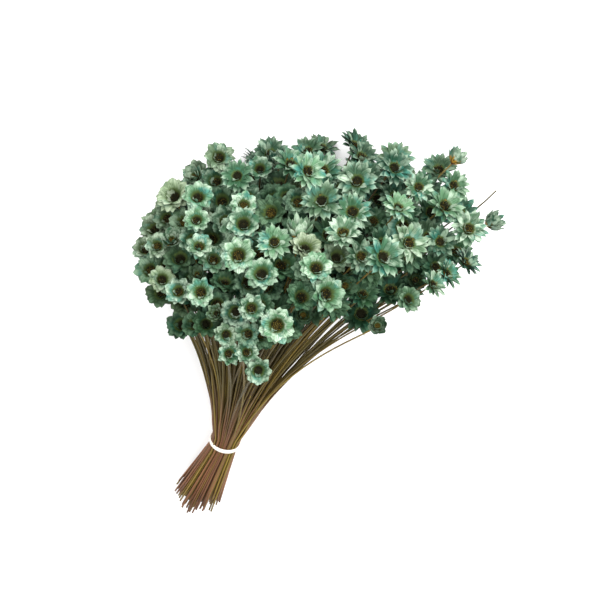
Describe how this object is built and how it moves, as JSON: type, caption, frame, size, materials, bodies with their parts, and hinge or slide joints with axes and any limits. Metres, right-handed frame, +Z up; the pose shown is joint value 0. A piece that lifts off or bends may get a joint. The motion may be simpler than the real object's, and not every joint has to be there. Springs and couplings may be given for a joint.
{
  "type": "dried flower bunch",
  "caption": "Tied bunch of dyed, dried straw daisies lying on its side: thin stems held by a band above the cut ends and a dense domed crown of small papery heads.",
  "frame": {"origin": "middle of the bottom of the bunch's box, on the surface that the bunch lies on", "axes": "+Z up, +Y along the bunch from its cut ends to its flowers, +X across it"},
  "size_m": [0.165, 0.234, 0.1263],
  "materials": {
    "dyed_flowers": "matte",
    "dry_stems": "matte",
    "tie_band": "satin"
  },
  "bodies": {
    "root": {"spray_01": "dyed_flowers", "spray_02": "dyed_flowers", "spray_03": "dyed_flowers", "spray_04": "dyed_flowers", "spray_05": "dyed_flowers", "spray_06": "dyed_flowers", "spray_07": "dyed_flowers", "spray_08": "dyed_flowers", "spray_09": "dyed_flowers", "spray_10": "dyed_flowers", "spray_11": "dyed_flowers", "spray_12": "dyed_flowers", "spray_13": "dyed_flowers", "spray_14": "dyed_flowers", "spray_15": "dyed_flowers", "spray_16": "dyed_flowers", "spray_17": "dyed_flowers", "spray_18": "dyed_flowers", "spray_19": "dyed_flowers", "tie_band": "tie_band"}
  },
  "joints": []
}
